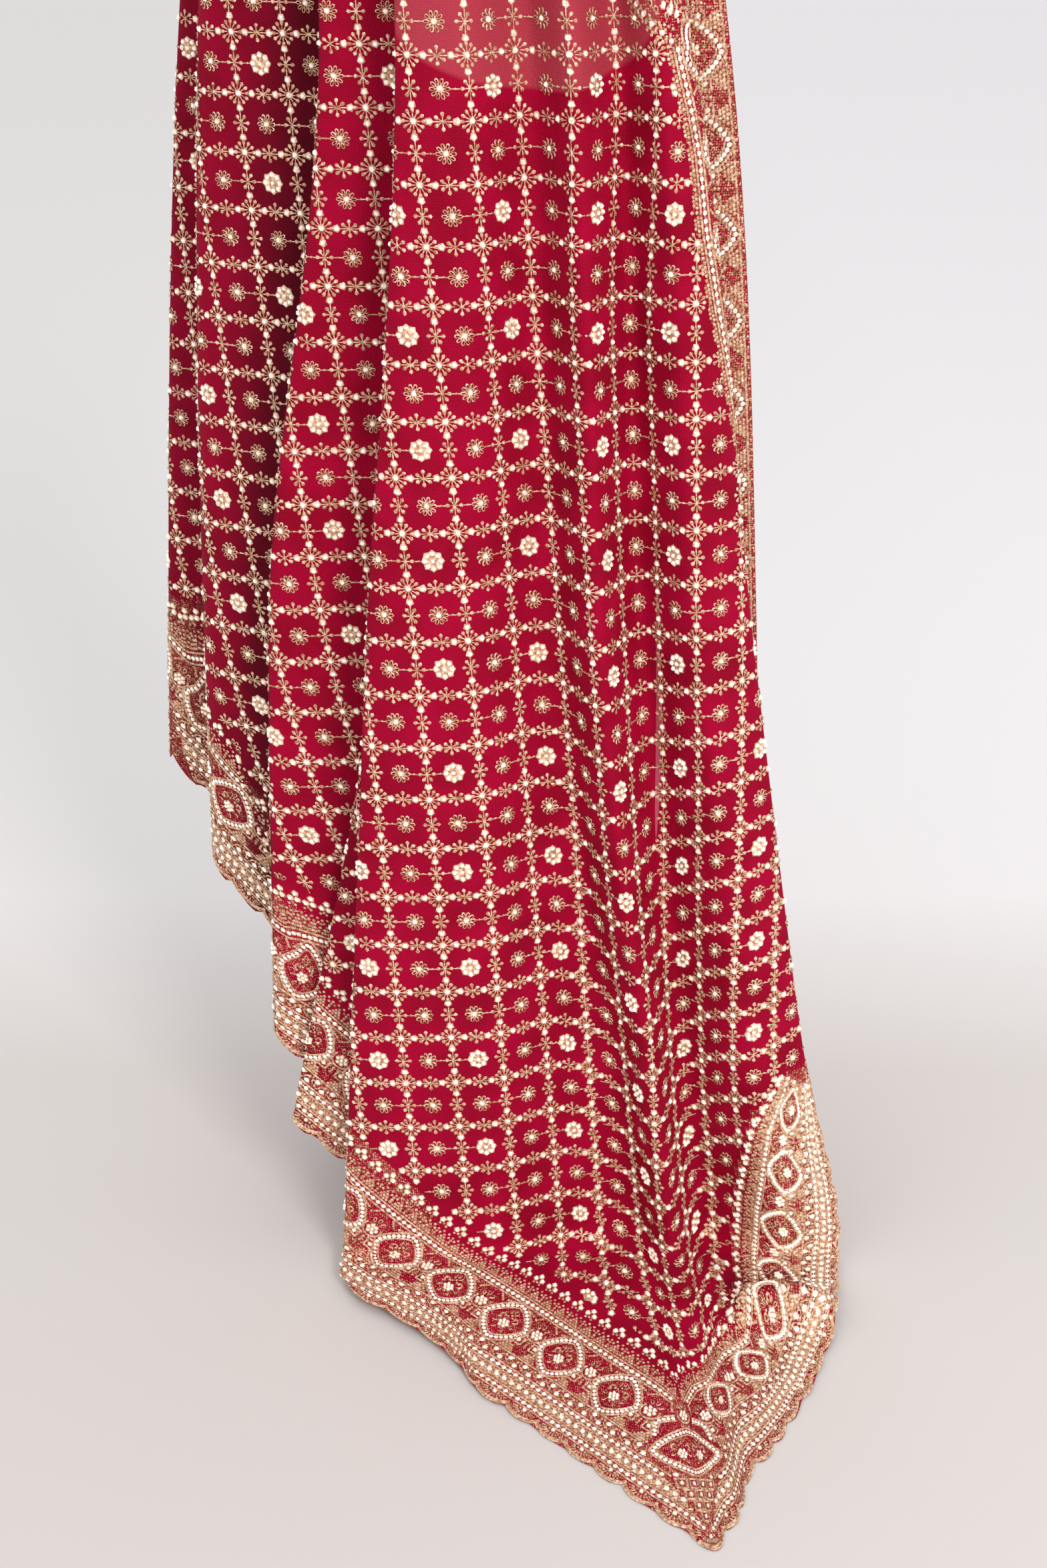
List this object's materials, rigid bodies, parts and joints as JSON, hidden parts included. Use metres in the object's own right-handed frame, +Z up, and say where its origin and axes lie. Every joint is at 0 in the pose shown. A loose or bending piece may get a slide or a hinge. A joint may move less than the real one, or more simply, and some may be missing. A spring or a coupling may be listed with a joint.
{
  "type": "georgette sari",
  "caption": "Worn georgette sari: skirt wrap with front pleats, pallu over one shoulder hanging in folds with a trailing corner.",
  "frame": {"origin": "centre of the waist, where the wearer holds the skirt's top edge", "axes": "+Z up, -Y towards the viewer of the front, +X to the right of the front view"},
  "size_m": [0.6269, 0.685, 1.4765],
  "materials": {
    "georgette": "crimson crepe georgette with rose gold thread and crystals"
  },
  "bodies": {
    "root": {"skirt_wrap": "georgette", "front_pleats": "georgette", "pallu_back": "georgette", "pallu_front": "georgette", "pallu_left": "georgette", "pallu_right": "georgette"}
  },
  "joints": []
}
